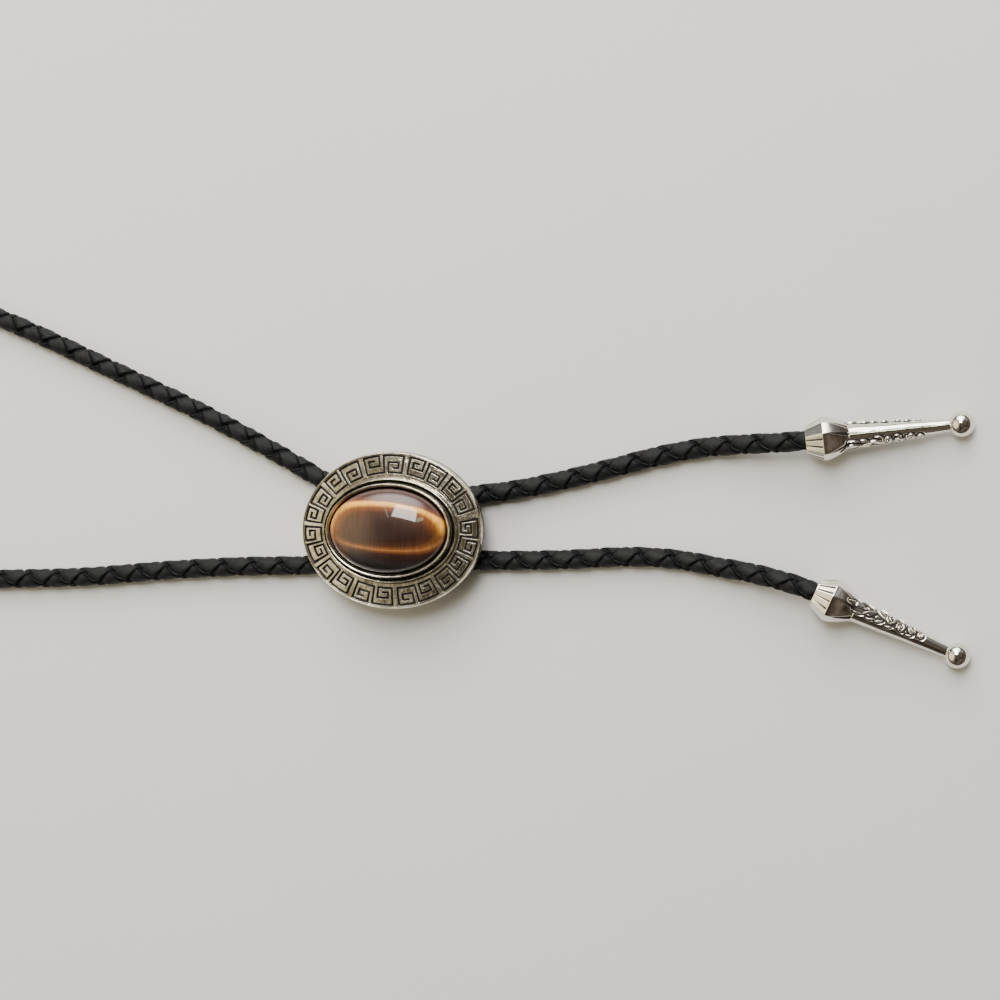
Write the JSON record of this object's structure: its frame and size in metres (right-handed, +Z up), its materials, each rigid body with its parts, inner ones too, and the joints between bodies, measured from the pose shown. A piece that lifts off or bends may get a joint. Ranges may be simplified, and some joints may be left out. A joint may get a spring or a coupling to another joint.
{
  "type": "bolo tie",
  "caption": "Bolo tie laid flat: oval cast slide with key-pattern band and domed brown stone, braided black cord loop, two metal-tipped tails.",
  "frame": {"origin": "centre of the clip's flat back, on the table under the centre of the slide", "axes": "+Z up from the table through the stone, +X from the slide to the tips, the neck loop runs to -X"},
  "size_m": [0.4414, 0.1179, 0.0176],
  "materials": {
    "antique_silver": "cast antiqued silver-tone metal, polished high points with black in the recesses",
    "stone": "polished brown banded stone with two golden silky bands",
    "black_leather": "round braid of flat black leather lace, soft sheen",
    "polished_nickel": "bright polished nickel-silver with dark recesses in the relief"
  },
  "bodies": {
    "root": {"slide_plate": "antique_silver", "back_clip": "antique_silver", "stone": "stone", "neck_cord": "black_leather", "upper_tail_cord": "black_leather", "lower_tail_cord": "black_leather", "upper_tip": "polished_nickel", "lower_tip": "polished_nickel"}
  },
  "joints": []
}
